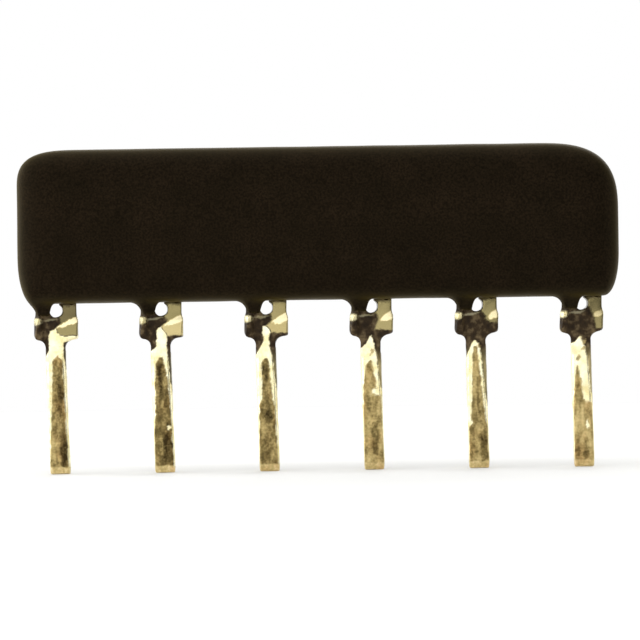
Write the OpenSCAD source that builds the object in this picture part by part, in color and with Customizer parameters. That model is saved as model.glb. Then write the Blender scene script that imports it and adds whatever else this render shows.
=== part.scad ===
// Single in-line resistor network: a printed ceramic chip gripped by a row of clip leads and dipped in epoxy.
// Millimetres. The origin is on the seating plane at the middle of the lead row. +X runs along the row from
// the common lead to the last one, +Z points up from the board, and -Y is the printed face.

/* [Lead row] */
// Number of leads
lead_count = 6; // [3:1:14]
// Distance between the axes of neighbouring leads
pitch = 2.54; // [2.2:0.01:5.08]
// Height of the coating's underside above the seating plane
standoff = 0.86; // [0.7:0.01:1.5]

/* [Lead] */
// Thickness of the strip that the leads are stamped from
strip_t = 0.25; // [0.2:0.01:0.3]
// Width of the pin
pin_w = 0.5; // [0.4:0.01:0.6]
// Length of the pin below the seating plane
pin_len = 3.25; // [2:0.05:6]
// Radius of the pin's long edges at the neck and at the tip
pin_edge_r = 0.04; // [0.03:0.01:0.09]
// Length over which those edges go from the neck to fully round
edge_run = 0.35; // [0.2:0.01:0.6]
// Length of the bevel at the pin's tip
tip_len = 0.19; // [0.1:0.01:0.4]
// Width of the blunt end of the tip
tip_w = 0.48; // [0.3:0.01:0.48]
// Thickness of the blunt end of the tip
tip_t = 0.1; // [0.06:0.01:0.18]
// Width of the shoulder that stops on the board
shoulder_w = 1.05; // [0.94:0.01:1.2]
// Radius of the shoulder's lower corners
shoulder_r = 0.11; // [0.05:0.01:0.15]
// Turn of the neck between the pin and the plate under the coating, in degrees
neck_turn = 30; // [10:1:34]
// Height above the seating plane at which the neck has made its turn
turn_top = 0.46; // [0.3:0.01:0.5]
// Diameter of the hole punched at the root of the slit
hole_d = 0.42; // [0.24:0.01:0.44]
// Height of the top of the hole above the coating's underside
hole_top = 0.1; // [0.02:0.01:0.12]
// Width of the slit between the two prongs
slit_w = 0.1; // [0.06:0.01:0.14]
// Width of each prong
prong_w = 0.33; // [0.26:0.01:0.35]
// Length of each prong on the chip
prong_len = 1.35; // [0.8:0.05:2]

/* [Chip and print] */
// Thickness of the ceramic chip
chip_t = 0.635; // [0.4:0.005:1]
// Length of the chip beyond the axis of the last lead
chip_end = 0.5; // [0.5:0.01:0.7]
// Thickness of each printed film
film_t = 0.015; // [0.01:0.001:0.03]
// Width of a solder pad
pad_w = 0.9; // [0.9:0.01:1]
// Width of the common conductor
bus_w = 0.3; // [0.2:0.01:0.6]
// Bare ceramic left above the print
print_edge = 0.12; // [0.06:0.01:0.4]
// Width of a resistor film
resistor_w = 0.7; // [0.5:0.01:0.9]
// Length of a resistor film between its two conductors
resistor_len = 0.74; // [0.4:0.01:2]
// Length of film printed over each conductor
overlap = 0.12; // [0.06:0.01:0.2]
// Width of the laser trim cut
trim_w = 0.05; // [0.03:0.01:0.08]
// Length of the laser trim cut across the film
trim_len = 0.28; // [0.1:0.01:0.4]
// Reach of the solder beside a prong
solder_leg = 0.06; // [0.03:0.01:0.065]
// Height of the solder against the prong's sides
solder_h = 0.15; // [0.08:0.01:0.18]

/* [Coating] */
// Epoxy below the chip
cover_low = 0.43; // [0.3:0.01:0.8]
// Epoxy above the chip
cover_top = 0.55; // [0.45:0.01:0.9]
// Epoxy beyond each end of the chip
cover_end = 0.415; // [0.4:0.01:0.8]
// Epoxy over the prongs on each face
cover_face = 0.41; // [0.2:0.01:0.7]
// Epoxy over the chip's faces at the upper edge
cover_face_top = 0.52; // [0.35:0.01:0.9]
// Squareness of the section through the coating, where 2 is an ellipse
face_power = 4; // [3.5:0.5:8]
// Length of the upper corner over the common lead
upper_first_x = 1.45; // [0.3:0.05:1.6]
// Height of the upper corner over the common lead
upper_first_z = 0.97; // [0.3:0.01:1.2]
// Length of the upper corner over the last lead
upper_last_x = 2.06; // [0.3:0.02:2.2]
// Height of the upper corner over the last lead
upper_last_z = 1.72; // [0.3:0.01:1.85]
// Squareness of the upper corners
upper_power = 3; // [2.8:0.1:5]
// Length of the lower corners
lower_x = 0.41; // [0.2:0.01:0.45]
// Height of the lower corners
lower_z = 1.15; // [0.3:0.01:1.2]
// Squareness of the lower corners
lower_power = 2.2; // [2:0.1:4]
// Length of the epoxy run down each lead
run_len = 0.29; // [0.15:0.01:0.4]
// Thickness of that run where it leaves the coating
run_t = 0.3; // [0.1:0.01:0.35]
// Width of the fillet that the run makes beside the lead
run_side = 0.15; // [0.05:0.01:0.2]

/* [Hidden] */
// Lead row
row_len = (lead_count - 1) * pitch;
// Lead: the neck's fillet, the turned plate and the hole
neck_fillet = shoulder_w / 2 - shoulder_r - pin_w / 2;
pin_round = strip_t / 2 - 0.01;
turn_start = -neck_fillet - 0.1;
turn_h = turn_top - turn_start;
plate_h = standoff - turn_top;
hole_z = standoff + hole_top - hole_d / 2;
prong_foot = 0.04;
slice = 0.01;
// Chip and print
chip_l = row_len + 2 * chip_end;
chip_z = standoff + cover_low;
print_gap = 0.06;
pad_h = prong_len + solder_leg + print_gap + overlap;
pad_top = chip_z + pad_h;
bus_z = pad_top + resistor_len;
bus_top = bus_z + bus_w;
chip_h = pad_h + resistor_len + bus_w + print_edge;
face_y = -chip_t / 2;
pad_y = face_y - film_t;
glaze_margin = 0.04;
// Coating: its box, its half thickness and the steps of its section from the rim to the face
body_l = chip_l + 2 * cover_end;
body_top = chip_z + chip_h + cover_top;
body_half = chip_t / 2 + film_t + strip_t + cover_face;
top_half = chip_t / 2 + cover_face_top;
half_h = (body_top - standoff) / 2;
steps = [6, 18, 32, 48, 64, 78];
corner_steps = 10;
run_root = 0.12;
run_wrap = 0.02;
hole_rim = 0.02;
$fn = 32;

epoxy_black = [0.12, 0.1, 0.063];
tinned = [0.66, 0.59, 0.4];
alumina = [0.93, 0.92, 0.88];
silver = [0.74, 0.73, 0.7];
resistor_ink = [0.13, 0.12, 0.12];
green_glass = [0.16, 0.34, 0.22];
solder_grey = [0.7, 0.69, 0.65];

function lead_x(i) = (i - 1) * pitch - row_len / 2;
function turn_at(z) = neck_turn * max(0, min(1, (z - turn_start) / turn_h));

// Coating

// One quarter of a superellipse, from its end on the x axis to its end on the z axis.
function quarter(a, b, p) = [
    for (k = [0:corner_steps])
        let (t = 90 * k / corner_steps)
            [a * pow(max(cos(t), 0), 2 / p), b * pow(max(sin(t), 0), 2 / p)]
];

function placed(points, x, z, sx, sz) = [for (q = points) [x + sx * q[0], z + sz * q[1]]];

function turned(points) = [for (k = [len(points) - 1:-1:0]) points[k]];

// A corner shrinks with the ring, then opens again so that the face stays free of creases.
function shrunk(a, inset) = max(a - inset, 0.6 * inset);

// The coating's outline as seen on the printed face, drawn in by an inset.
function ring(inset) =
    let (
        x = body_l / 2 - inset,
        low = standoff + inset,
        high = body_top - inset,
        la = shrunk(lower_x, inset),
        lb = shrunk(lower_z, inset),
        fa = shrunk(upper_first_x, inset),
        fb = shrunk(upper_first_z, inset),
        ea = shrunk(upper_last_x, inset),
        eb = shrunk(upper_last_z, inset),
        lower = quarter(la, lb, lower_power)
    )
    concat(
        turned(placed(lower, x - la, low + lb, 1, -1)),
        placed(quarter(ea, eb, upper_power), x - ea, high - eb, 1, 1),
        turned(placed(quarter(fa, fb, upper_power), fa - x, high - fb, -1, 1)),
        placed(lower, la - x, low + lb, -1, -1)
    );

function half_at(z) = body_half + (top_half - body_half) * (z - standoff) / (body_top - standoff);

// One ring of the skin at a section angle, on the printed face for side -1 and on the plain face for side 1.
function skin_ring(angle, side) =
    let (
        inset = half_h * (1 - pow(cos(angle), 2 / face_power)),
        share = angle == 0 ? 0 : pow(sin(angle), 2 / face_power)
    )
    [for (q = ring(inset)) [q[0], side * share * half_at(q[1]), q[1]]];

module dipped_skin() {
    rings = concat(
        [for (k = [len(steps) - 1:-1:0]) skin_ring(steps[k], -1)],
        [skin_ring(0, 1)],
        [for (k = [0:len(steps) - 1]) skin_ring(steps[k], 1)]
    );
    n = len(rings[0]);
    last = len(rings) - 1;
    points = [for (r = rings) for (q = r) q];
    walls = [
        for (r = [0:last - 1])
            for (j = [0:n - 1])
                for (half = [0, 1])
                    let (a = r * n + j, b = r * n + (j + 1) % n)
                        half == 0 ? [a, b, b + n] : [a, b + n, a + n]
    ];
    near = [for (j = [n - 1:-1:0]) j];
    far = [for (j = [0:n - 1]) last * n + j];
    polyhedron(points, concat([near], walls, [far]), convexity = 4);
}

// A level slice of the epoxy that runs down one half of the neck.
module run_slice(z, outer, depth) {
    inner = hole_d / 2 + hole_rim;
    edge = min(0.05, depth / 2);
    translate([0, 0, z])
        rotate(turn_at(z))
            linear_extrude(slice)
                polygon([
                    [-outer, 0],
                    [-outer, edge - depth],
                    [edge - outer, -depth],
                    [-inner - edge, -depth],
                    [-inner, edge - depth],
                    [-inner, 0]
                ]);
}

module epoxy_run(side) {
    edge = shoulder_w / 2 + run_wrap;
    skin = strip_t / 2;
    levels = [
        [standoff + run_root, edge + side, skin + run_t],
        [standoff, edge + side, skin + 0.8 * run_t],
        [standoff - 0.3 * run_len, edge + 0.3 * side, skin + 0.45 * run_t],
        [standoff - 0.6 * run_len, edge + 0.05 * side, skin + 0.25 * run_t],
        [standoff - run_len, edge - 2 * run_wrap, skin + 0.1 * run_t]
    ];
    for (k = [0:len(levels) - 2])
        hull() {
            run_slice(levels[k][0], levels[k][1], levels[k][2]);
            run_slice(levels[k + 1][0], levels[k + 1][1], levels[k + 1][2]);
        }
}

module coating() {
    color(epoxy_black)
        difference() {
            union() {
                dipped_skin();
                for (i = [1:lead_count])
                    translate([lead_x(i), 0, 0]) {
                        epoxy_run(run_side);
                        rotate(180)
                            epoxy_run(0);
                    }
            }
            substrate();
            for (i = [1:lead_count]) {
                lead(i);
                solder_mound(i);
            }
            for (i = [1:lead_count])
                pad(i);
            glaze_block();
        }
}

// Leads

module pin_section(r) {
    square([pin_w - 2 * r, strip_t], center = true);
    square([pin_w, strip_t - 2 * r], center = true);
    for (sx = [-1, 1])
        for (sy = [-1, 1])
            translate([sx * (pin_w / 2 - r), sy * (strip_t / 2 - r)])
                circle(r);
}

// A thin level slice of the pin that starts at z.
module pin_slice(z, r) {
    translate([0, 0, z])
        linear_extrude(slice)
            pin_section(r);
}

// The pin from the neck down. Its edges are round below the neck and squarer towards the tip, which has
// a bevel on all four sides.
module pin() {
    round_z = -neck_fillet - edge_run;
    tip_z = tip_len - pin_len;
    hull() {
        pin_slice(slice - neck_fillet, pin_edge_r);
        pin_slice(round_z, pin_round);
    }
    hull() {
        pin_slice(round_z - slice, pin_round);
        pin_slice(tip_z, pin_edge_r);
    }
    hull() {
        pin_slice(tip_z - slice, pin_edge_r);
        translate([0, 0, -pin_len])
            linear_extrude(slice)
                square([min(tip_w, pin_w), tip_t], center = true);
    }
}

// The shoulder and the plate above it as seen on the printed face, with rounded lower corners and the
// fillets that lead into the pin.
module shoulder_outline() {
    w = shoulder_w;
    r = shoulder_r;
    f = neck_fillet;
    translate([-w / 2, r])
        square([w, standoff]);
    for (sx = [-1, 1])
        translate([sx * (w / 2 - r), r])
            circle(r);
    difference() {
        translate([r - w / 2, -f])
            square([w - 2 * r, standoff + 2 * f]);
        for (sx = [-1, 1])
            translate([sx * (w / 2 - r), -f])
                circle(f);
    }
}

module relief_hole() {
    translate([0, 0, hole_z])
        rotate(turn_at(hole_z))
            rotate([90, 0, 0])
                cylinder(d = hole_d, h = 4 * strip_t, center = true);
}

// The strip turns about the lead's axis above the pin, so that one half comes forward and the other goes
// back. The plate above the turn stays at that angle up to the coating.
module turned_strip() {
    translate([0, 0, standoff])
        mirror([0, 0, 1])
            rotate(neck_turn) {
                linear_extrude(plate_h)
                    square([shoulder_w, strip_t], center = true);
                translate([0, 0, plate_h])
                    linear_extrude(turn_h, twist = neck_turn, slices = 14, segments = 8)
                        square([shoulder_w, strip_t], center = true);
            }
}

module neck() {
    intersection() {
        turned_strip();
        translate([0, shoulder_w, 0])
            rotate([90, 0, 0])
                linear_extrude(2 * shoulder_w)
                    shoulder_outline();
    }
}

// A prong as seen on the printed face, from just below the chip's lower edge.
module prong_outline() {
    r = prong_w / 2;
    patch(0, -prong_foot, prong_w, prong_len - r);
    translate([r, prong_len - r])
        circle(r, $fn = 12);
}

// A plate of the strip whose inner face lies at y, drawn by a flat outline in the x and z of one prong.
module strip_plate(y) {
    translate([-slit_w / 2 - prong_w, y, chip_z])
        rotate([90, 0, 0])
            linear_extrude(strip_t)
                children();
}

// One prong with its inner face at y, and the bent stretch that joins it to the neck.
module prong(y) {
    hull() {
        translate([0, 0, standoff])
            rotate(neck_turn)
                translate([-shoulder_w / 2, -strip_t / 2, 0])
                    cube([shoulder_w / 2 - slit_w / 2, strip_t, slice]);
        strip_plate(y)
            patch(0, -prong_foot - slice, prong_w, -prong_foot);
    }
    strip_plate(y)
        prong_outline();
}

module lead(i) {
    color(tinned)
        translate([lead_x(i), 0, 0])
            difference() {
                union() {
                    pin();
                    neck();
                    prong(pad_y);
                    rotate(180)
                        prong(face_y);
                }
                relief_hole();
            }
}

// Chip and print

module substrate() {
    color(alumina)
        translate([0, chip_t / 2, 0])
            rotate([90, 0, 0])
                linear_extrude(chip_t)
                    patch(-chip_l / 2, chip_z, chip_l / 2, chip_z + chip_h);
}

// Film of one print, drawn by its outline on the printed face and lying on the given number of other films.
module print_film(below = 0, layers = 1) {
    translate([0, face_y - below * film_t, 0])
        rotate([90, 0, 0])
            linear_extrude(layers * film_t)
                children();
}

// An upright rectangle between two corners.
module patch(x0, z0, x1, z1) {
    polygon([[x0, z0], [x1, z0], [x1, z1], [x0, z1]]);
}

module pad_patch(i) {
    patch(lead_x(i) - pad_w / 2, chip_z, lead_x(i) + pad_w / 2, pad_top);
}

module pad(i) {
    color(silver)
        print_film()
            pad_patch(i);
}

// The common conductor: the first lead's pad, a riser, and the bar that every resistor ends on.
module bus_conductor() {
    color(silver)
        print_film() {
            pad_patch(1);
            patch(lead_x(1) - bus_w / 2, chip_z, lead_x(1) + bus_w / 2, bus_top);
            patch(lead_x(1) - bus_w / 2, bus_z, lead_x(lead_count) + resistor_w / 2, bus_top);
        }
}

// A resistor film that steps up over the ends of its two conductors, with its trim cut.
module resistor(i) {
    x0 = lead_x(i + 1) - resistor_w / 2;
    x1 = lead_x(i + 1) + resistor_w / 2;
    mid = (pad_top + bus_z) / 2;
    color(resistor_ink)
        difference() {
            union() {
                print_film()
                    patch(x0, pad_top, x1, bus_z);
                print_film(1) {
                    patch(x0, pad_top - overlap, x1, pad_top + film_t);
                    patch(x0, bus_z - film_t, x1, bus_z + overlap);
                }
            }
            translate([x0 - slice, face_y - 2 * film_t, mid - trim_w / 2])
                cube([trim_len + slice, 3 * film_t, trim_w]);
        }
}

module glaze_block() {
    print_film(0, 3)
        patch(
            lead_x(1) - bus_w / 2 - glaze_margin,
            pad_top - overlap - glaze_margin,
            lead_x(lead_count) + resistor_w / 2 + glaze_margin,
            bus_top + glaze_margin
        );
}

module overglaze() {
    color(green_glass)
        difference() {
            glaze_block();
            bus_conductor();
            for (i = [2:lead_count]) {
                pad(i);
                resistor(i - 1);
            }
        }
}

// The mound of solder on a pad, from its outline on the pad to where it ends on the prong's sides.
module solder_mound(i) {
    r = prong_w / 2;
    translate([lead_x(i) - slit_w / 2 - r, pad_y, chip_z])
        rotate([90, 0, 0])
            hull() {
                solder_outline(r + solder_leg);
                translate([0, 0, solder_h])
                    solder_outline(r - solder_leg / 2);
            }
}

module solder_outline(r) {
    linear_extrude(slice) {
        patch(-r, solder_leg, r, prong_len - prong_w / 2);
        translate([0, prong_len - prong_w / 2])
            circle(r, $fn = 26);
    }
}

// A fillet of solder along both sides and round the end of the front prong.
module solder(i) {
    color(solder_grey)
        difference() {
            solder_mound(i);
            translate([lead_x(i), 0, 0])
                prong(pad_y);
        }
}

coating();
substrate();
for (i = [1:lead_count]) {
    lead(i);
    solder(i);
}
bus_conductor();
for (i = [2:lead_count]) {
    pad(i);
    resistor(i - 1);
}
overglaze();
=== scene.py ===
import math

import bmesh
import bpy
from mathutils import Matrix, Vector, noise


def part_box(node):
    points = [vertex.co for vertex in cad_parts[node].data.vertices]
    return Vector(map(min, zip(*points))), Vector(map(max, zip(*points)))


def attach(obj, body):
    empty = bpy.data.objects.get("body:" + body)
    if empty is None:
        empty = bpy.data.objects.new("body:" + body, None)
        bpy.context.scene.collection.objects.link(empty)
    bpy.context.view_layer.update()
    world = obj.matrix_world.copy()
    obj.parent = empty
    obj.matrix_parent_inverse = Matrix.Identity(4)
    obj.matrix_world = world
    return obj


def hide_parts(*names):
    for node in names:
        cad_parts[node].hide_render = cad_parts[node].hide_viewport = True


# A single in-line resistor network: a row of solder-dipped clip leads under a body dipped in black epoxy.
# Sizes are in millimetres, as in the part's source, until a piece is finished in metres.
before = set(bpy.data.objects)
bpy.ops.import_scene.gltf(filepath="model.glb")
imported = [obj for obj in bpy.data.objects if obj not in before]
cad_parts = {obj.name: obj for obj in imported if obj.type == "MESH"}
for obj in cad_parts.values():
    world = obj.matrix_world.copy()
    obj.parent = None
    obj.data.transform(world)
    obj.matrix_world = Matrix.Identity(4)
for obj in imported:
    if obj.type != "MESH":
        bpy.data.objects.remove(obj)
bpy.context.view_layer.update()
MM = 0.001

# The lead row
LEADS = 6
LEAD_X = [sum(corner.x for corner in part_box(f"lead_{n}")) / 2 / MM for n in range(1, LEADS + 1)]
PIN_LEN = 3.25
STRIP_T = 0.25
SHOULDER_W = 1.05
# The even turn of the neck in the part's source, and the heights at which it starts and ends
NECK_TURN = math.radians(30)
TURN_START = -0.265
TURN_TOP = 0.46

# The dipped body: its lower edge, half its length, its top, half its height, and half its thickness at the
# bottom and at the top
STANDOFF = 0.86
BODY_HALF_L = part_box("coating")[1].x / MM
BODY_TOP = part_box("coating")[1].z / MM
HALF_H = (BODY_TOP - STANDOFF) / 2
BOTTOM_HALF_T = 0.9925
TOP_HALF_T = 0.8375
# Squareness of its section, and the length, height and squareness of its corners: both lower ones, and the
# upper ones beside the first and the last lead
SECTION_POWER = 4
LOWER_CORNER = (0.41, 1.15, 2.2)
UPPER_FIRST_CORNER = (1.45, 0.97, 3.0)
UPPER_LAST_CORNER = (2.06, 1.72, 3.0)
# The squareness that all corners reach on the middle line of a face, and how far they open on the way
MIDDLE_POWER = 2.5
CORNER_OPENING = 0.6

# Room that the skin leaves for the waves of the dip, and their height
SKIN_WAVE = 0.012
WAVE_H = 0.6 * SKIN_WAVE
# Long and short waves in a millimetre, where the short ones start, and their height beside the long ones
LONG_WAVES = 0.55
SHORT_WAVES = 1.4
SHORT_WAVE_START = Vector((7, 3, 1))
SHORT_WAVE_SHARE = 0.5
# How much the waves push outwards along the row at the ends of the body
END_WAVE_SHARE = 0.4

# Spacing of the skin's points along the lower edge, finer within reach of a lead
FINE_STEP = 0.026
COARSE_STEP = 0.09
FINE_REACH = 0.8
# Points round each corner and up each side
CORNER_STEPS = 36
SIDE_STEPS = 14
# Rings of the skin: shares of the half thickness from the rim inwards, then shares of the half height
RIM_SHARES = [0.032 * step for step in range(1, 20)]
RIM_SHARES += [0.66, 0.71, 0.76, 0.805, 0.845, 0.88, 0.91, 0.935, 0.957]
FACE_SHARES = [0.45, 0.54, 0.64, 0.75, 0.86, 0.95]

# The epoxy that ran down each lead: its length, its slopes off the strip, beside it and towards the hole
RUN_LEN = 0.30
RUN_SLOPE = 0.075
RUN_SIDE_SLOPE = 0.10
RUN_INNER_SLOPE = 0.022
# Where the run ends beside the hole of each lead, and the end and outer edge of the narrower run behind the
# other half of the neck
RUN_END = [-0.25, -0.25, -0.24, -0.22, -0.21, -0.20]
REAR_RUN_END = -0.32
REAR_RUN_EDGE = 0.38
# How far from a lead its runs reach, the depths over which they wet the strip, and the heights over which
# they draw the skin down
RUN_REACH = 1.3
RUN_WETS = (0.14, -0.02)
RUN_PULLS = (STANDOFF + 0.9, STANDOFF + 0.1)

# The rear half of the neck turns less: its angle, the heights over which it takes that angle and over which
# it goes back to the even turn inside the coating, the neck's foot, and the stretch where the halves meet
REAR_TURN = math.radians(8)
REAR_RISE = (0.1, STANDOFF)
REAR_FADE = (STANDOFF + 0.44, STANDOFF + 0.19)
NECK_FOOT = (-0.165, -0.16)
HALVES_MEET = (-0.34, -0.16)
# How far the shoulder lies to the left of the plate above it, and the stretches over which it moves there
SHOULDER_SHIFT = 0.035
SHIFT_RISE = (0.62, 0.45)
SHIFT_SIDE = (0.2, 0.5)
# How much lower its left half hangs, and the stretches over which it sags
SHOULDER_SAG = 0.035
SAG_SIDE = (-0.15, -0.45)
SAG_TOP = (0.4, 0.0)
SAG_FOOT = (-0.5, -0.1)
# The shoulder's lower edge, how far below it the corners are worn, and their radius, left on every lead and
# right on each
SHOULDER_LOW = 0.0
WORN_BELOW = 0.05
LEFT_CORNER = 0.17
RIGHT_CORNERS = [0.03, 0.04, 0.08, 0.16, 0.17, 0.16]
# How far a pin leans from its top to its tip, as it was left by handling
PIN_LEAN = [0.08, 0.075, 0.06, 0.05, 0.045, 0.045]
LEAN_TOP = -0.35
# The relief hole: its middle height and radius, and how far the turn closed and moved it
HOLE_Z = 0.75
HOLE_R = 0.21
HOLE_CLOSE = 0.065
HOLE_MOVE = Vector((-0.012, 0, -0.049))
# How many radii from its middle the metal moved along, below and above, and the stretch between these
HOLE_SPREAD_BELOW = 2.1
HOLE_SPREAD_ABOVE = 1.35
HOLE_ABOVE = (0.0, 0.1)

# Points closer than this are one point
MERGE = 1e-4
# Fineness of a lead's mesh, the passes that melt its edges round, and how far each goes
LEAD_VOXEL = 0.02
MELT_PASSES = 6
MELT_FACTOR = 0.5
# Lumps in a lead's surface: their number in a millimetre, their height, the room left for them, and the
# solder's thickness
LUMPS = 2.6
LUMP_H = 0.008
LUMP_ROOM = 0.012
SOLDER_T = 0.010

# Where the solder wetted each lead, from the top down: height, left edge and right edge
SOLDER_EDGES = [
    [(0.28, -0.02, 0.0), (0.19, -0.17, 0.04), (0.1, -0.18, 0.1), (0.08, -0.18, 0.6), (0.02, -0.18, 0.6),
     (-0.06, -0.18, 0.17), (-0.25, -0.18, 0.17), (-0.45, -0.3, 0.18), (-1.2, -0.3, 0.3)],
    [(0.27, -0.06, -0.02), (0.19, -0.12, 0.06), (0.1, -0.12, 0.14), (-0.1, -0.12, 0.12), (-0.2, -0.13, 0.12),
     (-0.34, -0.3, 0.13), (-0.9, -0.3, 0.18), (-1.6, -0.3, 0.3)],
    [(0.25, -0.1, -0.02), (0.15, -0.1, 0.11), (0.04, -0.1, 0.06), (-0.1, -0.08, 0.03), (-0.3, -0.19, 0.09),
     (-0.48, -0.3, 0.12), (-1.0, -0.3, 0.18), (-1.6, -0.3, 0.3)],
    [(-0.01, -0.05, -0.02), (-0.2, -0.14, 0.04), (-0.33, -0.3, 0.08), (-0.6, -0.3, 0.13), (-1.2, -0.3, 0.18),
     (-1.4, -0.3, 0.3)],
    [(-0.15, -0.07, -0.03), (-0.24, -0.14, 0.03), (-0.5, -0.25, 0.09), (-0.75, -0.3, 0.12),
     (-1.4, -0.3, 0.18), (-2.0, -0.3, 0.3)],
    [(-0.11, -0.08, -0.03), (-0.22, -0.17, 0.01), (-0.28, -0.3, 0.03), (-0.6, -0.3, 0.12),
     (-1.4, -0.3, 0.19), (-1.7, -0.3, 0.3)],
]
# Where dross dulled the solder, in the same way
LAND_EDGES = [
    [(-0.40, 0.0, 0.02), (-0.5, -0.1, 0.12), (-1.2, -0.13, 0.17), (-2.0, -0.16, 0.2), (-3.25, -0.2, 0.26)],
    [(-0.45, -0.06, 0.0), (-0.6, -0.15, 0.05), (-1.0, -0.17, 0.12), (-1.8, -0.18, 0.2),
     (-3.25, -0.26, 0.26)],
    [(-0.52, -0.06, 0.0), (-0.62, -0.14, 0.05), (-1.5, -0.13, 0.12), (-1.62, -0.2, 0.16),
     (-3.25, -0.24, 0.25)],
    [(-0.62, -0.08, -0.02), (-0.75, -0.18, 0.0), (-1.2, -0.22, 0.1), (-1.5, -0.24, 0.2),
     (-3.25, -0.27, 0.27)],
    [(-0.3, -0.1, -0.02), (-0.7, -0.13, 0.04), (-1.8, -0.15, 0.14), (-2.08, -0.17, 0.18),
     (-2.2, -0.26, 0.22), (-3.25, -0.27, 0.27)],
    [(-0.8, -0.15, -0.12), (-1.2, -0.2, -0.04), (-1.62, -0.24, 0.0), (-1.7, -0.26, 0.22),
     (-3.25, -0.27, 0.27)],
]
# The tone of each lead's dross, where 0 is dark and 1 is light
LAND_TONE = [0.405, 0.27, 0.36, 0.50, 0.44, 0.55]
# Darker and brighter spots of the dross: middle, half width and half height
DARK_SPOTS = [
    [(0.14, -2.6, 0.10, 0.5), (0.08, -1.2, 0.07, 0.6)],
    [(-0.06, -0.9, 0.07, 0.35), (0.11, -2.62, 0.11, 0.42)],
    [(-0.05, -0.8, 0.08, 0.28), (0.03, -1.9, 0.09, 0.16)],
    [(0.04, -1.6, 0.08, 0.14), (0.05, -2.4, 0.08, 0.6)],
    [(-0.17, -2.6, 0.06, 0.45), (0.14, -2.75, 0.08, 0.4)],
    [(-0.14, -2.88, 0.07, 0.12), (0.06, -2.95, 0.08, 0.08)],
]
DARK_STRENGTH = 0.20
BRIGHT_SPOTS = [
    [],
    [(0.14, -2.15, 0.05, 0.06)],
    [],
    [(0.08, -1.40, 0.12, 0.09), (0.16, -1.1, 0.06, 0.3)],
    [(-0.2, -2.13, 0.07, 0.05)],
    [(0.09, -1.2, 0.08, 0.45), (0.09, -2.25, 0.04, 0.12)],
]
# Small dull marks in the bright solder above the dross, in the same way
TONGUE_MARKS = [
    [],
    [],
    [],
    [(0.01, -0.37, 0.05, 0.06), (-0.04, -0.46, 0.03, 0.03)],
    [(0.03, -0.30, 0.05, 0.06)],
    [(0.04, -0.23, 0.03, 0.05), (0.03, -0.38, 0.04, 0.04), (-0.10, -0.62, 0.05, 0.07)],
]
MARK_STRENGTH = 0.8
# Streaks drawn down the dross, long and short: their number in a millimetre across and along, and how strong
# they are
LONG_STREAKS = (7, 1.6, 0.20)
SHORT_STREAKS = (11, 5, 0.16)
# The pale band at a pin's tip: its height and softness, how dull it is, and its tone
TIP_BAND = 0.17
TIP_SOFT = 0.03
TIP_DULL = 0.7
TIP_TONE = 0.8

# The painted highlight that slants up over the bare neck where it bends: its start, half its thickness at
# its end, and how strong it is
PAINTED_HIGHLIGHTS = [(-0.02, 0.07, 1.0), (0.06, 0.08, 0.95), (0.12, 0.10, 0.95), (0.22, 0.10, 0.9), (0.29, 0.09, 0.85),
           (0.25, 0.07, 0.6)]
# Its height on the lead's axis, its slope, where it is full, how far before its start it tapers, its tone
STREAK_Z = 0.29
STREAK_RISE = 0.40
STREAK_FULL = 0.4
STREAK_TAPER = 0.1
HIGHLIGHT_TONE = 0.97
# Softness of its start, of its edges, and of the change from the metal under it to the plate above it
STREAK_START_SOFT = 0.04
STREAK_SOFT = 0.02
PLATE_SOFT = 0.03
# The tone of the bare metal under that highlight and of the plate above it, painted light and shade of the
# faces either side of the bend, and the tone of the hole's punched wall
UNDER_TONE = [0.40, 0.62, 0.55, 0.45, 0.32, 0.36]
PLATE_TONE = [0.25, 0.39, 0.43, 0.43, 0.40, 0.32]
HOLE_TONE = 0.1
# The metal is bare above this height, where less than this share of it is wetted
BARE_FROM = -0.1
WETTED = 0.5
# How squarely a place faces the front or the back: less than this on a hole's wall, and over this stretch it
# comes to lie on a flat face, which can carry dross
WALL_FACING = 0.8
FLAT_FACING = (0.55, 0.85)
# A painted highlight at the left end of the plate, just under the run, drawn as bright solder: middle, half
# width and half height
HIGHLIGHT_SPOT = (-0.48, 0.44, 0.15, 0.085)
HIGHLIGHT_STRENGTH = 0.5
# The thin light line beside it, in the same way, and its slope
LIGHT_LINE = (-0.13, 0.50, 0.19, 0.026)
LINE_STRENGTH = 0.22
LINE_RISE = 0.12

# The painted shade on the bare neck, a dark brown patch, from the top down: height and right edge
SHADE_EDGES = [
    [(0.95, -0.06), (0.6, -0.06), (0.54, 0.10), (0.40, 0.10), (0.28, -0.02), (0.2, -0.12)],
    [(0.95, -0.06), (0.6, -0.06), (0.54, 0.10), (0.40, 0.14), (0.28, -0.02), (0.2, -0.1)],
    [(0.95, -0.05), (0.6, -0.05), (0.54, 0.10), (0.40, 0.12), (0.27, -0.02), (0.2, -0.08)],
    [(0.95, -0.05), (0.6, -0.05), (0.54, 0.10), (0.40, 0.16), (0.3, 0.12), (0.14, 0.06)],
    [(0.95, -0.04), (0.6, -0.04), (0.55, 0.12), (0.42, 0.22), (0.34, 0.18), (0.28, 0.3)],
    [(0.95, -0.04), (0.64, 0.0), (0.58, 0.2), (0.4, 0.26), (0.12, 0.34)],
]
# The height on each lead under which the painted shade goes right across
SHADE_ACROSS = [-0.01, 0.06, 0.09, 0.13, 0.27, 0.10]
# The painted shade along the top of the plate, where it meets the coating: where it starts and is full, and
# its strength
EDGE_SHADE = (0.78, 0.87)
EDGE_SHADE_STRENGTH = 0.75
# The stretch over which the painted shade thins out down the right flank of the pin, and by how much
FLANK_SHADE = (-0.25, -0.70)
FLANK_THINNING = 0.75
# Softness of the edges: the painted shade's right edge, its top, where it goes across, the solder's and the
# dross's
SHADE_SOFT = 0.03
SHADE_TOP_SOFT = 0.06
ACROSS_SOFT = 0.02
SOLDER_SOFT = 0.012
LAND_SOFT = 0.02
# Where a spot starts and is full, in shares of its half width and half height
SPOT_EDGE = (1.25, 0.75)
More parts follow.
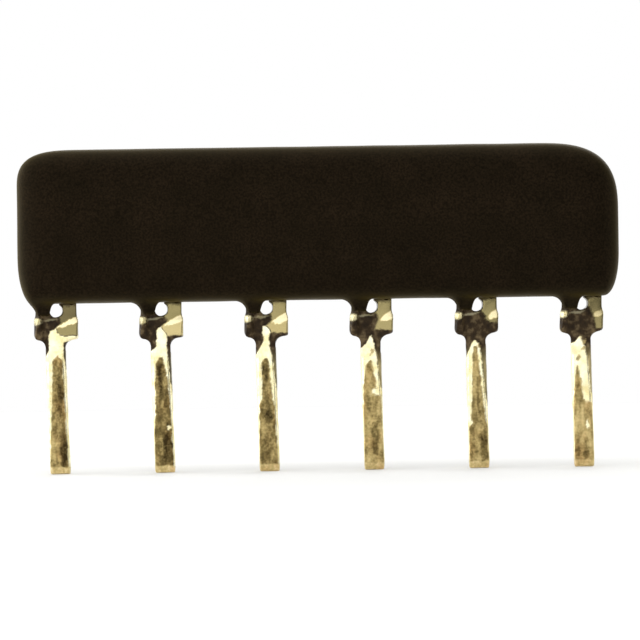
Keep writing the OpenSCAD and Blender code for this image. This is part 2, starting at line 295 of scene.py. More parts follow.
# How edges and spots wander: waves in a millimetre and their height
BROAD_WANDER = (8, 0.024)
FINE_WANDER = (22, 0.018)
SPOT_DRIFT = (5, 0.06)
# How much more an edge wanders in height than across, and how little of the drift a mark takes
WANDER_RISE = 1.5
MARK_DRIFT = 0.3
# The step from one lead's noise to the next lead's
LEAD_SEED = Vector((3.7, 1.3, 0))

# Sizes in the epoxy's skin: soft clouds, grains of filler and the spacing of pale specks. The real filler is
# finer, and is drawn as coarse as it needs to show.
CLOUD_SIZE = 0.9
FILLER_SIZE = 0.05
SPECK_SPACING = 0.32
# Sizes in the lead's surface: patches of bright solder, blushes, dross, its flecks, and clouds in the
# painted shade
PATCH_SIZE = 0.22
BLUSH_SIZE = 0.30
DROSS_SIZE = 0.12
FLECK_SIZE = 0.06
SHADE_CLOUD_SIZE = 0.16
# Dross and its blushes are drawn out to twice their length down the pin
DRAWN_OUT = (1.0, 1.0, 0.5)
# How much the dross's grain and its flecks change its tone
GRAIN_STRENGTH = 0.75
FLECK_STRENGTH = 0.6
# Depth of the relief in the epoxy, in the dross, and in the inner layers
FILLER_DEPTH = 0.004
DROSS_DEPTH = 0.02
LAYER_DEPTH = 0.004
# Roughness of the epoxy from grain to grain and of the lead from bright to dull, and how far an inner
# layer's goes up and down
EPOXY_ROUGHNESS = (0.42, 0.58)
LEAD_ROUGHNESS = (0.22, 0.48)
LAYER_SPREAD = 0.06

# The table: its radius and sides, its gap under the tips, and the lift of its white at two distances
TABLE_RADIUS = 60
TABLE_SIDES = 96
TABLE_GAP = 0.002
NEAR_LIFT = (10, 0.04)
FAR_LIFT = (52, 0.4)
# The even level at which the room lights the part, and where its backdrop starts and is full
PLAIN_LEVEL = 0.25
BACKDROP = (0.1, 0.6)
# Soft lamps: place, width, and the brightness that a mirror would show
SOFTBOXES = {
    "left_softbox": ((-95, 0, 20), 130, 2.2),
    "side_front_softbox": ((-80, -80, 12), 80, 1.5),
    "top_softbox": ((-10, -20, 110), 130, 2.0),
    "right_softbox": ((110, -30, 20), 90, 1.0),
    "front_softbox": ((-4, -130, 6), 90, 1.2),
    "rear_softbox": ((30, 95, 60), 100, 1.5),
}
# The camera: its lens, the width that it frames, where it aims, and its roll
LENS = 200
SENSOR = 36
FRAME_WIDTH = 15.48
AIM_X = 0.02
AIM_Z = 0.385
ROLL = math.radians(-0.85)

# Sockets of a Mix node that mixes colours
FACTOR = 0
FIRST = 6
SECOND = 7
MIXED = 2


def smooth_step(low, high, value):
    share = min(max((value - low) / (high - low), 0.0), 1.0)
    return share * share * (3 - 2 * share)


# Colours and nodes

def linear(hex_colour):
    """The linear colour of an sRGB hex value."""
    shares = (int(hex_colour[start:start + 2], 16) / 255 for start in (1, 3, 5))
    colour = [share / 12.92 if share <= 0.04045 else ((share + 0.055) / 1.055) ** 2.4 for share in shares]
    return colour + [1.0]


def plug(node, sockets):
    """Gives each named socket of a node its link, its colour or its value."""
    for name, value in sockets.items():
        if isinstance(value, bpy.types.NodeSocket):
            node.id_data.links.new(value, node.inputs[name])
        else:
            node.inputs[name].default_value = linear(value) if isinstance(value, str) else value


def add(nodes, kind, sockets=None, stops=(), **settings):
    """Adds a node with its settings, its sockets and, on a colour ramp, its stops."""
    node = nodes.new(kind)
    for name, value in settings.items():
        setattr(node, name, value)
    plug(node, sockets or {})
    for place, _ in stops[2:]:
        node.color_ramp.elements.new(place)
    for element, (place, colour) in zip(node.color_ramp.elements if stops else (), stops):
        element.position = place
        element.color = linear(colour)
    return node


def new_material(name):
    material = bpy.data.materials.new(name)
    material.use_nodes = True
    nodes = material.node_tree.nodes
    return material, nodes, nodes["Principled BSDF"]


def per_mm(size):
    """Noise scale for features of a size in millimetres, on coordinates in metres."""
    return 1 / (size * MM)


def dipped_epoxy():
    """Black-brown epoxy cured from a dip: satin and softly clouded, with fine filler grain, a few pale
    specks and a painted sheen towards its edges, where a lighter olive brown is mixed into the colour."""
    material, nodes, shader = new_material("dipped_epoxy_satin")
    place = add(nodes, "ShaderNodeTexCoord").outputs["Object"]
    cloud = add(nodes, "ShaderNodeTexNoise", {"Vector": place, "Scale": per_mm(CLOUD_SIZE), "Detail": 3.0})
    filler = add(nodes, "ShaderNodeTexNoise", {"Vector": place, "Scale": per_mm(FILLER_SIZE), "Detail": 2.0})
    speck = add(nodes, "ShaderNodeTexVoronoi", {"Vector": place, "Scale": per_mm(SPECK_SPACING)})
    grain = filler.outputs["Fac"]
    tone = add(nodes, "ShaderNodeValToRGB", {"Fac": cloud.outputs["Fac"]},
               [(0.3, "#19130b"), (0.7, "#211910")])
    mottle = add(nodes, "ShaderNodeValToRGB", {"Fac": grain}, [(0.35, "#a2a2a2"), (0.65, "#ffffff")])
    skin = add(nodes, "ShaderNodeMix", {
        FACTOR: 1.0, FIRST: tone.outputs["Color"], SECOND: mottle.outputs["Color"]},
        data_type="RGBA", blend_type="MULTIPLY")
    dots = add(nodes, "ShaderNodeValToRGB", {"Fac": speck.outputs["Distance"]},
               [(0.0, "#ffffff"), (0.085, "#000000")])
    few = add(nodes, "ShaderNodeValToRGB", {"Fac": speck.outputs["Color"]},
              [(0.72, "#000000"), (0.78, "#ffffff")])
    pale = add(nodes, "ShaderNodeMix", {
        FACTOR: 1.0, FIRST: dots.outputs["Color"], SECOND: few.outputs["Color"]},
        data_type="RGBA", blend_type="MULTIPLY")
    speckled = add(nodes, "ShaderNodeMix", {
        FACTOR: pale.outputs[MIXED], FIRST: skin.outputs[MIXED], SECOND: "#3a3226"}, data_type="RGBA")
    # Painted sheen: the colour turns a lighter olive brown where a face is seen edge-on
    edge = add(nodes, "ShaderNodeLayerWeight", {"Blend": 0.25}).outputs["Facing"]
    sheen = add(nodes, "ShaderNodeMapRange", {"Value": edge, "From Min": 0.0, "From Max": 0.9},
                interpolation_type="SMOOTHSTEP")
    colour = add(nodes, "ShaderNodeMix", {
        FACTOR: sheen.outputs["Result"], FIRST: speckled.outputs[MIXED], SECOND: "#4b401c"},
        data_type="RGBA")
    rough = add(nodes, "ShaderNodeMapRange", {
        "Value": grain, "To Min": EPOXY_ROUGHNESS[0], "To Max": EPOXY_ROUGHNESS[1]})
    bump = add(nodes, "ShaderNodeBump", {"Height": grain, "Strength": 0.35, "Distance": FILLER_DEPTH * MM})
    plug(shader, {"Base Color": colour.outputs[MIXED], "Roughness": rough.outputs["Result"], "IOR": 1.5,
                  "Specular IOR Level": 0.05, "Specular Tint": "#ffe6b8", "Normal": bump.outputs["Normal"]})
    return material


def dross_colour(nodes, grain, fleck, tone, warm):
    """The grainy dross on a pin, dark to light by its tone, with a coppery blush here and there."""
    # Grain and flecks are one half on average, so this keeps the average at the tone
    level = -(GRAIN_STRENGTH + FLECK_STRENGTH) / 2
    broad = add(nodes, "ShaderNodeMath", {0: grain, 1: GRAIN_STRENGTH, 2: tone}, operation="MULTIPLY_ADD")
    fine = add(nodes, "ShaderNodeMath", {0: fleck, 1: FLECK_STRENGTH, 2: level}, operation="MULTIPLY_ADD")
    shade = add(nodes, "ShaderNodeMath", {0: broad.outputs[0], 1: fine.outputs[0]}, operation="ADD")
    dross = add(nodes, "ShaderNodeValToRGB", {"Fac": shade.outputs[0]}, [
        (0.0, "#3c311c"), (0.3, "#806f45"), (0.55, "#bca770"), (0.8, "#dec991"), (1.0, "#f6e6b6")])
    blush = add(nodes, "ShaderNodeMapRange", {
        "Value": warm, "From Min": 0.48, "From Max": 0.75, "To Max": 0.45})
    flushed = add(nodes, "ShaderNodeMix", {
        FACTOR: blush.outputs["Result"], FIRST: dross.outputs["Color"], SECOND: "#ffdcc8"},
        data_type="RGBA", blend_type="MULTIPLY")
    return flushed.outputs[MIXED]


def neck_colour(nodes, cloud, film, tone):
    """The neck's bare olive metal, dark to light by its tone, and the painted shade over it in dark brown.
    """
    # Painted shade, dark brown in soft clouds
    shade_colour = add(nodes, "ShaderNodeValToRGB", {"Fac": cloud}, [
        (0.33, "#271d11"), (0.52, "#3a2d1c"), (0.70, "#6c5c42")])
    bare = add(nodes, "ShaderNodeValToRGB", {"Fac": tone}, [
        (0.2, "#5d543a"), (0.4, "#8f845a"), (0.6, "#b9a976"), (0.95, "#f6e8ba")])
    neck = add(nodes, "ShaderNodeMix", {
        FACTOR: film, FIRST: bare.outputs["Color"], SECOND: shade_colour.outputs["Color"]}, data_type="RGBA")
    return neck.outputs[MIXED]


def dipped_solder():
    """Stamped strip dipped in solder: bright and smooth where it wetted, grainy and dull where dross set on
    the pin, bare olive metal in painted light and shade above the solder's edge, and painted shade on the
    neck."""
    material, nodes, shader = new_material("hot_dipped_solder")
    place = add(nodes, "ShaderNodeTexCoord").outputs["Object"]
    drawn = add(nodes, "ShaderNodeMapping", {"Vector": place, "Scale": DRAWN_OUT}).outputs["Vector"]
    solder, dull, film, tone = (add(nodes, "ShaderNodeAttribute", attribute_name=name).outputs["Fac"]
                                for name in ("solder", "dull", "film", "tone"))
    noises = ((place, PATCH_SIZE, 3.0), (drawn, BLUSH_SIZE, 2.0), (drawn, DROSS_SIZE, 4.0),
              (place, FLECK_SIZE, 3.0), (place, SHADE_CLOUD_SIZE, 2.5))
    patch, warm, grain, fleck, cloud = (
        add(nodes, "ShaderNodeTexNoise", {
            "Vector": spread, "Scale": per_mm(size), "Detail": detail}).outputs["Fac"]
        for spread, size, detail in noises)
    bright = add(nodes, "ShaderNodeValToRGB", {"Fac": patch}, [(0.3, "#e6d8a0"), (0.65, "#fdf6d2")])
    wetted = add(nodes, "ShaderNodeMix", {
        FACTOR: solder, FIRST: neck_colour(nodes, cloud, film, tone), SECOND: bright.outputs["Color"]},
        data_type="RGBA")
    colour = add(nodes, "ShaderNodeMix", {
        FACTOR: dull, FIRST: wetted.outputs[MIXED], SECOND: dross_colour(nodes, grain, fleck, tone, warm)},
        data_type="RGBA")
    metal = add(nodes, "ShaderNodeMath", {0: 1.0, 1: film}, operation="SUBTRACT", use_clamp=True).outputs[0]
    matt = add(nodes, "ShaderNodeMath", {0: dull, 1: film}, operation="MAXIMUM").outputs[0]
    rough = add(nodes, "ShaderNodeMapRange", {
        "Value": matt, "To Min": LEAD_ROUGHNESS[0], "To Max": LEAD_ROUGHNESS[1]})
    height = add(nodes, "ShaderNodeMath", {0: grain, 1: matt}, operation="MULTIPLY").outputs[0]
    bump = add(nodes, "ShaderNodeBump", {"Height": height, "Strength": 0.35, "Distance": DROSS_DEPTH * MM})
    plug(shader, {"Base Color": colour.outputs[MIXED], "Metallic": metal, "Specular IOR Level": 0.1,
                  "Roughness": rough.outputs["Result"], "Normal": bump.outputs["Normal"]})
    return material


def inner_material(name, dark, light, size, roughness, metallic=0.0):
    """A printed or fired layer inside the coating, mottled between two colours at a size in millimetres."""
    material, nodes, shader = new_material(name)
    place = add(nodes, "ShaderNodeTexCoord").outputs["Object"]
    noisy = add(nodes, "ShaderNodeTexNoise", {"Vector": place, "Scale": per_mm(size), "Detail": 3.0})
    mottle = noisy.outputs["Fac"]
    tone = add(nodes, "ShaderNodeValToRGB", {"Fac": mottle}, [(0.3, dark), (0.7, light)])
    rough = add(nodes, "ShaderNodeMapRange", {
        "Value": mottle, "To Min": roughness - LAYER_SPREAD, "To Max": roughness + LAYER_SPREAD})
    bump = add(nodes, "ShaderNodeBump", {"Height": mottle, "Strength": 0.3, "Distance": LAYER_DEPTH * MM})
    plug(shader, {"Base Color": tone.outputs["Color"], "Roughness": rough.outputs["Result"],
                  "Metallic": metallic, "Normal": bump.outputs["Normal"]})
    return material


# Meshes

def finish_piece(bm, name, material, slot, *nodes):
    """Turns a bmesh in millimetres into a smooth piece that stands for the given CAD nodes."""
    bmesh.ops.scale(bm, vec=(MM, MM, MM), verts=bm.verts)
    mesh = bpy.data.meshes.new(name)
    bm.to_mesh(mesh)
    bm.free()
    mesh.shade_smooth()
    mesh.materials.append(material)
    piece = bpy.data.objects.new(name, mesh)
    bpy.context.scene.collection.objects.link(piece)
    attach(piece, "root")
    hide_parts(*nodes)


# The dipped coating

def corner_point(size, share):
    """A point on a superellipse quarter, from its end on the x axis to its end on the z axis."""
    length, height, power = size
    angle = share * math.pi / 2
    return length * max(math.cos(angle), 0) ** (2 / power), height * max(math.sin(angle), 0) ** (2 / power)


def drawn_in(corner, inset):
    """A corner shrinks with the outline, then opens again so that the face stays free of creases."""
    length, height, power = corner
    power += (MIDDLE_POWER - power) * inset / HALF_H
    least = CORNER_OPENING * inset
    return max(length - inset, least), min(max(height - inset, least), HALF_H - inset), power


def bottom_stations():
    """Places along the lower edge from -1 to 1, close together beside the leads."""
    reach = BODY_HALF_L - LOWER_CORNER[0]
    places = []
    x = -reach
    while x < reach:
        places.append(x / reach)
        beside = min(abs(x - lead) for lead in LEAD_X)
        x += FINE_STEP if beside < FINE_REACH else COARSE_STEP
    return places


def outline_stations():
    """The stretches of the outline, each with its places, once round from the lower first corner."""
    corner = [step / CORNER_STEPS for step in range(CORNER_STEPS)]
    side = [step / SIDE_STEPS for step in range(SIDE_STEPS)]
    bottom = bottom_stations()
    top = [1.0] + bottom[:0:-1]
    stretches = (("bottom", bottom), ("lower_last", corner), ("last_side", side), ("upper_last", corner),
                 ("top", top), ("upper_first", corner), ("first_side", side), ("lower_first", corner))
    return [(stretch, share) for stretch, shares in stretches for share in shares]


def outline_point(stretch, share, inset):
    """The x and z of a place on the outline, drawn in by an inset."""
    x = BODY_HALF_L - inset
    low = STANDOFF + inset
    high = BODY_TOP - inset
    lower = drawn_in(LOWER_CORNER, inset)
    first = drawn_in(UPPER_FIRST_CORNER, inset)
    last = drawn_in(UPPER_LAST_CORNER, inset)
    if stretch == "bottom":
        return share * (x - lower[0]), low
    if stretch == "lower_last":
        along, up = corner_point(lower, 1 - share)
        return x - lower[0] + along, low + lower[1] - up
    if stretch == "last_side":
        return x, low + lower[1] + share * (high - last[1] - low - lower[1])
    if stretch == "upper_last":
        along, up = corner_point(last, share)
        return x - last[0] + along, high - last[1] + up
    if stretch == "top":
        return x - last[0] - (1 - share) / 2 * (2 * x - last[0] - first[0]), high
    if stretch == "upper_first":
        along, up = corner_point(first, 1 - share)
        return first[0] - x - along, high - first[1] + up
    if stretch == "first_side":
        return -x, high - first[1] - share * (high - first[1] - low - lower[1])
    along, up = corner_point(lower, share)
    return lower[0] - x - along, low + lower[1] - up


def section_steps():
    """Pairs of inset and share of the half thickness, from the rim to the middle line of a face."""
    root = 1 / SECTION_POWER
    rim = [(HALF_H * (1 - (1 - share ** SECTION_POWER) ** root), share) for share in RIM_SHARES]
    face = [(HALF_H * share, (1 - (1 - share) ** SECTION_POWER) ** root) for share in FACE_SHARES]
    return rim + face + [(HALF_H - SKIN_WAVE, 1.0)]


def half_thickness(z):
    return BOTTOM_HALF_T + (TOP_HALF_T - BOTTOM_HALF_T) * (z - STANDOFF) / (BODY_TOP - STANDOFF)


def run_drop(x, y):
    """How far the epoxy is drawn down beside a lead: in front on its left half, behind on its right half."""
    drop = 0.0
    for lead, run_end in zip(LEAD_X, RUN_END):
        if abs(x - lead) > RUN_REACH:
            continue
        runs = ((1, NECK_TURN, SHOULDER_W / 2, run_end, RUN_SIDE_SLOPE),
                (-1, REAR_TURN, REAR_RUN_EDGE, REAR_RUN_END, RUN_INNER_SLOPE))
        for half, turn, edge, end, side_slope in runs:
            along = half * ((x - lead) * math.cos(turn) + y * math.sin(turn))
            depth = half * (y * math.cos(turn) - (x - lead) * math.sin(turn))
            beyond = max(-edge - along, 0) * RUN_SLOPE / side_slope
            inner = max(along - end, 0) * RUN_SLOPE / RUN_INNER_SLOPE
            away = math.hypot(beyond + inner, max(-STRIP_T / 2 - depth, 0))
            drop = max(drop, smooth_step(*RUN_WETS, depth) * RUN_LEN * math.exp(-away / RUN_SLOPE))
    return drop


def skin_point(stretch, share, inset, thickness_share, side):
    """A place on the skin: the dipped section with its waves, pulled down beside the leads."""
    x, z = outline_point(stretch, share, inset + SKIN_WAVE)
    y = side * thickness_share * (half_thickness(z) - 2 * SKIN_WAVE)
    place = Vector((x, y, z))
    short = noise.noise(place * SHORT_WAVES + SHORT_WAVE_START)
    wave = noise.noise(place * LONG_WAVES) + SHORT_WAVE_SHARE * short
    outward = Vector((x / BODY_HALF_L * END_WAVE_SHARE, y, (z - STANDOFF - HALF_H) / HALF_H)).normalized()
    place += outward * wave * WAVE_H
    pull = smooth_step(*RUN_PULLS, z)
    if pull > 0:
        place.z -= run_drop(x, y) * pull
    return place


def dipped_coating(material):
    """The skin is pulled ring by ring out of the outline at mid thickness, until the rings close on the
    middle line of each face."""
    stations = outline_stations()
    bm = bmesh.new()
    bmesh.ops.create_circle(bm, segments=len(stations), radius=1.0, cap_ends=False)
    order = bm.verts.layers.int.new("station")
    for number, vert in enumerate(bm.verts):
        vert[order] = number
        vert.co = skin_point(*stations[number], 0.0, 0.0, 1)
    rim = list(bm.edges)
    for side in (-1, 1):
        edges = rim
        for inset, thickness_share in section_steps():
            made = bmesh.ops.extrude_edge_only(bm, edges=edges)["geom"]
            verts = {item for item in made if isinstance(item, bmesh.types.BMVert)}
            for vert in verts:
                vert.co = skin_point(*stations[vert[order]], inset, thickness_share, side)
            new_edges = (item for item in made if isinstance(item, bmesh.types.BMEdge))
            edges = [edge for edge in new_edges if set(edge.verts) <= verts]
    bmesh.ops.remove_doubles(bm, verts=bm.verts, dist=MERGE)
    bmesh.ops.recalc_face_normals(bm, faces=bm.faces)
    finish_piece(bm, "coating_skin", material, "epoxy", "coating")


# The shape of a lead

def fine_copy(node):
    """A merged copy of a CAD lead in millimetres, remeshed finely so that its edges can melt round."""
    bm = bmesh.new()
    bm.from_mesh(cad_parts[node].data)
    bmesh.ops.remove_doubles(bm, verts=bm.verts, dist=MERGE * MM)
    bmesh.ops.scale(bm, vec=(1 / MM, 1 / MM, 1 / MM), verts=bm.verts)
    mesh = bpy.data.meshes.new(node + "_stock")
    bm.to_mesh(mesh)
    bm.free()
    stock = bpy.data.objects.new(node + "_stock", mesh)
    bpy.context.scene.collection.objects.link(stock)
    remesh = stock.modifiers.new("fine", "REMESH")
    remesh.mode = "VOXEL"
    remesh.voxel_size = LEAD_VOXEL
    graph = bpy.context.evaluated_depsgraph_get()
    fine = bpy.data.meshes.new_from_object(stock.evaluated_get(graph))
    bm = bmesh.new()
    bm.from_mesh(fine)
    bpy.data.objects.remove(stock)
    bpy.data.meshes.remove(mesh)
    bpy.data.meshes.remove(fine)
    return bm


def neck_shift(x, y, z):
    """How far a place on the neck lies from where an even turn would put it: the shoulder sits to the left
    and its left half sags, and the right half turns back less than the left half comes forward."""
    even = NECK_TURN * min(max((z - TURN_START) / (TURN_TOP - TURN_START), 0), 1)
    rear = REAR_TURN * smooth_step(*REAR_RISE, z)
    along = x * math.cos(even) + y * math.sin(even)
    depth = y * math.cos(even) - x * math.sin(even)
    turned_x = along * math.cos(rear) - depth * math.sin(rear)
    turned_y = along * math.sin(rear) + depth * math.cos(rear)
    share = smooth_step(*HALVES_MEET, x) * smooth_step(*REAR_FADE, z) * smooth_step(*NECK_FOOT, z)
    low = smooth_step(*SHIFT_RISE, z)
    right = smooth_step(*SHIFT_SIDE, x)
    aside = -SHOULDER_SHIFT * (low * (1 - right) + (1 - low) * right)
    sag = -SHOULDER_SAG * smooth_step(*SAG_SIDE, x) * smooth_step(*SAG_TOP, z) * smooth_step(*SAG_FOOT, z)
    return Vector((turned_x - x, turned_y - y, 0)) * share + Vector((aside, 0, sag))


def worn_corner(x, z, side, radius):
    """How far a place near a lower corner of the shoulder is drawn in, so that the corner becomes round."""
    out = max(side * x - (SHOULDER_W / 2 - radius), 0) / radius
    down = max(SHOULDER_LOW + radius - z, 0) / radius if z > SHOULDER_LOW - WORN_BELOW else 0
    reach = math.hypot(out, down)
    if out == 0 or down == 0 or reach <= 1:
        return Vector((0, 0, 0))
    return Vector((-side * out, 0, down)) * radius * (1 - 1 / reach)


def closed_hole(x, z):
    """How far the metal round the relief hole was pressed in when the neck was turned."""
    out = Vector((x, 0, z - HOLE_Z))
    above = smooth_step(*HOLE_ABOVE, out.z)
    spread = HOLE_SPREAD_BELOW + (HOLE_SPREAD_ABOVE - HOLE_SPREAD_BELOW) * above
    near = smooth_step(spread * HOLE_R, HOLE_R, out.length)
    return (HOLE_MOVE - out.normalized() * HOLE_CLOSE) * near


def formed_lead(number):
    """A lead with its own worn corners, turn and lean, its hole pressed in, and its edges melted round."""
    lead_x = LEAD_X[number - 1]
    bm = fine_copy(f"lead_{number}")
    for vert in bm.verts:
        x, y, z = vert.co.x - lead_x, vert.co.y, vert.co.z
        lean = PIN_LEAN[number - 1] * max(LEAN_TOP - z, 0) / (PIN_LEN + LEAN_TOP)
        worn = worn_corner(x, z, -1, LEFT_CORNER) + worn_corner(x, z, 1, RIGHT_CORNERS[number - 1])
        vert.co += worn + neck_shift(x, y, z) + Vector((lean, 0, 0))
        vert.co += closed_hole(vert.co.x - lead_x, vert.co.z)
    for _ in range(MELT_PASSES):
        bmesh.ops.smooth_vert(bm, verts=bm.verts, factor=MELT_FACTOR,
                              use_axis_x=True, use_axis_y=True, use_axis_z=True)
    bm.normal_update()
    return bm


# What covers a lead

def at_height(rows, z):
    """The values of a table of heights, which run from the top down, or nothing above its first row."""
    if z > rows[0][0]:
        return None
    for upper, lower in zip(rows, rows[1:]):
        if z >= lower[0]:
            share = (upper[0] - z) / (upper[0] - lower[0])
            return [above + (below - above) * share for above, below in zip(upper[1:], lower[1:])]
    return rows[-1][1:]


def between(edges, x, soft):
    """1 between two edges and 0 outside them, or 0 where there are none."""
    if edges is None:
        return 0.0
    left, right = edges
    return smooth_step(left - soft, left + soft, x) * smooth_step(right + soft, right - soft, x)


def in_spots(spots, x, z):
    """1 in the middle of a spot, fading to 0 round it."""
    away = (math.hypot((x - middle_x) / half_w, (z - middle_z) / half_h)
            for middle_x, middle_z, half_w, half_h in spots)
    return max((smooth_step(*SPOT_EDGE, distance) for distance in away), default=0.0)


def stray(place, seed, waves, height):
    return noise.noise(place * waves + seed) * height


def drawn_streaks(place, seed, across, along, strength):
    return noise.noise(Vector((place.x * across, place.y * across, place.z * along)) + seed) * strength


def bare_tone(pattern, x, z):
    """The tone of the bare neck, in painted light and shade: a painted highlight slanting along the bend,
    the metal under it and the plate above it.
    """
    start, half, strength = PAINTED_HIGHLIGHTS[pattern]
    middle = STREAK_Z + STREAK_RISE * x
    under = smooth_step(middle + PLATE_SOFT, middle - PLATE_SOFT, z)
    tone = PLATE_TONE[pattern] + (UNDER_TONE[pattern] - PLATE_TONE[pattern]) * under
    wide = half * smooth_step(start - STREAK_TAPER, STREAK_FULL, x)
    lit = strength * smooth_step(wide + STREAK_SOFT, max(wide - STREAK_SOFT, 0), abs(z - middle))
    lit *= smooth_step(start - STREAK_START_SOFT, start + STREAK_START_SOFT, x)
    return tone + (HIGHLIGHT_TONE - tone) * lit


def neck_film(pattern, x, z, spot):
    """How dark the painted shade is: left of its edge except on the painted highlight, right across lower
    down, and along the top of the plate."""
    rows = SHADE_EDGES[pattern]
    top = rows[0][0]
    edge = at_height(rows, z)
    left = 0.0
    if edge is not None:
        left = smooth_step(edge[0] + SHADE_SOFT, edge[0] - SHADE_SOFT, x)
        left *= smooth_step(top, top - SHADE_TOP_SOFT, z)
    across = smooth_step(SHADE_ACROSS[pattern] + ACROSS_SOFT, SHADE_ACROSS[pattern] - ACROSS_SOFT, z)
    return max(left * (1 - spot), across, EDGE_SHADE_STRENGTH * smooth_step(*EDGE_SHADE, z))


def lead_cover(pattern, seed, place, facing):
    """What covers a place on a lead: how far it is wetted by solder, dulled by dross and darkened by painted
    shade, and its tone."""
    wander = stray(place, seed, *BROAD_WANDER) + stray(place, seed, *FINE_WANDER)
    drift = stray(place, -seed, *SPOT_DRIFT)
    x, z = place.x + wander, place.z + WANDER_RISE * wander
    spot_x, spot_z = x + wander, z + drift

    # A painted highlight at the plate's left end, drawn as bright solder, which keeps the painted shade off
    # it
    spot = in_spots([HIGHLIGHT_SPOT], place.x, place.z)
    line = in_spots([LIGHT_LINE], x, place.z - LINE_RISE * place.x + wander)
    light = max(HIGHLIGHT_STRENGTH * spot, LINE_STRENGTH * line)
    solder = max(between(at_height(SOLDER_EDGES[pattern], z), x, SOLDER_SOFT), light)

    land = between(at_height(LAND_EDGES[pattern], z), x, LAND_SOFT)
    spark = in_spots(BRIGHT_SPOTS[pattern], spot_x, spot_z)
    mark = in_spots(TONGUE_MARKS[pattern], spot_x, z + MARK_DRIFT * drift)
    dull = max(land * (1 - spark), MARK_STRENGTH * mark) * smooth_step(*FLAT_FACING, facing)

    # Painted shade in dark brown on the neck, thinning out down the pin and gone where solder wets
    thinned = 1 - FLANK_THINNING * smooth_step(*FLANK_SHADE, place.z)
    film = neck_film(pattern, x, z, spot) * (1 - solder) * thinned

    streaks = drawn_streaks(place, seed, *LONG_STREAKS) + drawn_streaks(place, -seed, *SHORT_STREAKS)
    tone = LAND_TONE[pattern] + streaks - DARK_STRENGTH * in_spots(DARK_SPOTS[pattern], spot_x, spot_z)
    # On the bare neck the tone is painted light and shade: the highlight along the bend and the faces beside
    # it
    if place.z > BARE_FROM and solder < WETTED:
        tone = bare_tone(pattern, x, z)
    if facing < WALL_FACING and math.hypot(place.x, place.z - HOLE_Z) < HOLE_R:
        tone = HOLE_TONE

    band = TIP_BAND - PIN_LEN
    tip = smooth_step(band + TIP_SOFT, band - TIP_SOFT, place.z + wander)
    return {"solder": solder, "dull": max(dull, TIP_DULL * tip), "film": film,
            "tone": tone + (TIP_TONE - tone) * tip}


def solder_dipped_lead(number, material):
    """A formed lead with the lumps of its dip. Attributes say what covers it, and the rear face has the
    pattern of another lead, turned round."""
    bm = formed_lead(number)
    layers = {name: bm.verts.layers.float.new(name) for name in ("solder", "dull", "film", "tone")}
    for vert in bm.verts:
        front = vert.normal.y < 0
        pattern = (number if front else number % LEADS + 1) - 1
        turn = 1 if front else -1
        place = Vector((turn * (vert.co.x - LEAD_X[number - 1]), turn * vert.co.y, vert.co.z))
        cover = lead_cover(pattern, LEAD_SEED * number, place, abs(vert.normal.y))
        for name, layer in layers.items():
            vert[layer] = cover[name]
        lump = noise.noise(vert.co * LUMPS) * LUMP_H - LUMP_ROOM + SOLDER_T * cover["solder"]
        vert.co += vert.normal * lump
        vert.co.z = max(vert.co.z, -PIN_LEN)
    finish_piece(bm, f"solder_dipped_lead_{number}", material, "tinned_lead", f"lead_{number}")


# Inner pieces

def dress_inner_pieces():
    """Inner pieces keep their CAD meshes and get their fired and printed surfaces."""
    surfaces = {
        # Matt white ceramic with a faint grain
        "substrate": inner_material("fired_alumina", "#e6e3da", "#f2f0ea", 0.08, 0.6),
        # Pale grey metal, a little rough from firing
        "bus_conductor": inner_material("fired_silver_print", "#a8a59c", "#c9c6bd", 0.04, 0.42, 1.0),
        # The same metal, slightly darker under the solder
        "pad": inner_material("fired_silver_pad", "#a19e95", "#c4c1b8", 0.04, 0.42, 1.0),
        # Near-black ink, half matt
        "resistor": inner_material("fired_resistor_ink", "#1c1b1b", "#2c2a2a", 0.05, 0.5),
        # Smooth dark green glass
        "overglaze": inner_material("fired_green_glass", "#24523a", "#2f6848", 0.2, 0.25),
        # Smooth grey metal with soft patches
        "solder": inner_material("reflowed_solder", "#a7a49b", "#cbc8c0", 0.12, 0.3, 1.0),
    }
    for name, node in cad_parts.items():
        key = name if name in surfaces else name.rsplit("_", 1)[0]
        if key in surfaces:
            node.data.materials.clear()
            node.data.materials.append(surfaces[key])


# Floor, light and camera

def background_rays(nodes):
    """1 for the rays that show the background: the eye's own, mirrored ones and ones through glass."""
    path = add(nodes, "ShaderNodeLightPath").outputs
    mirrored = add(nodes, "ShaderNodeMath", {0: path["Is Glossy Ray"], 1: path["Is Transmission Ray"]},
                   operation="MAXIMUM")
    shown = add(nodes, "ShaderNodeMath", {0: path["Is Camera Ray"], 1: mirrored.outputs[0]},
                operation="MAXIMUM")
    return shown.outputs[0]


def pale_floor():
    """A pale table under the pins' tips, lifted to near white for the eye and for mirrored rays. It keeps
    the shadow."""
    bm = bmesh.new()
    bmesh.ops.create_circle(bm, segments=TABLE_SIDES, radius=TABLE_RADIUS * MM, cap_ends=True)
    bmesh.ops.translate(bm, vec=(0, 0, -(PIN_LEN + TABLE_GAP) * MM), verts=bm.verts)
    mesh = bpy.data.meshes.new("table")
    bm.to_mesh(mesh)
    bm.free()
    material, nodes, shader = new_material("table_paper_white")
    place = add(nodes, "ShaderNodeTexCoord").outputs["Object"]
    away = add(nodes, "ShaderNodeVectorMath", {0: place}, operation="LENGTH").outputs["Value"]
    lift = add(nodes, "ShaderNodeMapRange", {
        "Value": away, "From Min": NEAR_LIFT[0] * MM, "From Max": FAR_LIFT[0] * MM,
        "To Min": NEAR_LIFT[1], "To Max": FAR_LIFT[1]}).outputs["Result"]
    glow = add(nodes, "ShaderNodeMath", {0: background_rays(nodes), 1: lift}, operation="MULTIPLY")
    plug(shader, {"Base Color": "#ebebe9", "Roughness": 0.9,
                  "Emission Color": "#ffffff", "Emission Strength": glow.outputs[0]})
    mesh.materials.append(material)
    floor = bpy.data.objects.new("table", mesh)
    bpy.context.scene.collection.objects.link(floor)


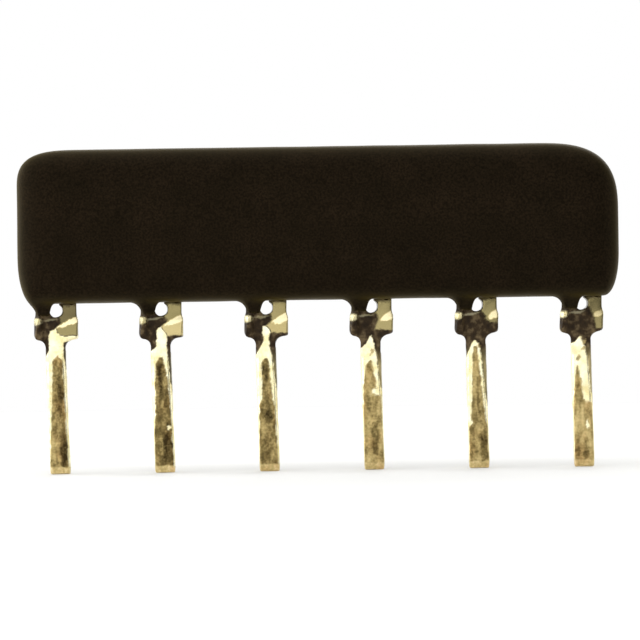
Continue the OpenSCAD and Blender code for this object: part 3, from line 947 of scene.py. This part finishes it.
def softbox(name, place, size, glow):
    """A square soft lamp that faces the part, with its glow as the brightness that a mirror would show."""
    data = bpy.data.lights.new(name, "AREA")
    data.shape = "SQUARE"
    data.size = size * MM
    data.energy = glow * math.pi * (size * MM) ** 2
    lamp = bpy.data.objects.new(name, data)
    lamp.location = Vector(place) * MM
    lamp.rotation_euler = (-Vector(place)).to_track_quat("-Z", "Y").to_euler()
    lamp.visible_camera = False
    bpy.context.scene.collection.objects.link(lamp)


def studio():
    """White all round for the eye, a white backdrop behind the part for reflections, and an even fill."""
    world = bpy.data.worlds.new("white_studio")
    bpy.context.scene.world = world
    world.use_nodes = True
    nodes = world.node_tree.nodes
    direction = add(nodes, "ShaderNodeTexCoord").outputs["Generated"]
    split = add(nodes, "ShaderNodeSeparateXYZ", {0: direction})
    path = add(nodes, "ShaderNodeLightPath").outputs
    backdrop = add(nodes, "ShaderNodeMapRange", {
        "Value": split.outputs["Y"], "From Min": BACKDROP[0], "From Max": BACKDROP[1]},
        interpolation_type="SMOOTHSTEP").outputs["Result"]
    rays = background_rays(nodes)
    white = add(nodes, "ShaderNodeMath", {0: path["Is Camera Ray"], 1: backdrop}, operation="MAXIMUM")
    shown = add(nodes, "ShaderNodeMath", {0: rays, 1: white.outputs[0]}, operation="MULTIPLY")
    level = add(nodes, "ShaderNodeMath", {0: shown.outputs[0], 1: PLAIN_LEVEL}, operation="MAXIMUM")
    plug(nodes["Background"], {"Color": "#ffffff", "Strength": level.outputs[0]})
    for name, (place, size, glow) in SOFTBOXES.items():
        softbox(name, place, size, glow)


def camera_at_photo():
    """A long lens square to the body's front, turned a little so that the row rises to the right."""
    data = bpy.data.cameras.new("camera")
    data.lens = LENS
    data.sensor_width = SENSOR
    data.clip_start = 0.001
    data.clip_end = 10
    distance = FRAME_WIDTH * LENS / SENSOR
    camera = bpy.data.objects.new("camera", data)
    camera.location = Vector((AIM_X, -distance, AIM_Z)) * MM
    upright = Matrix.Rotation(math.radians(90), 4, "X")
    camera.rotation_euler = (upright @ Matrix.Rotation(ROLL, 4, "Z")).to_euler()
    bpy.context.scene.collection.objects.link(camera)
    bpy.context.scene.camera = camera


bpy.context.scene.view_settings.view_transform = "Standard"
camera_at_photo()
studio()
pale_floor()
dress_inner_pieces()
dipped_coating(dipped_epoxy())
lead_surface = dipped_solder()
for lead_number in range(1, LEADS + 1):
    solder_dipped_lead(lead_number, lead_surface)
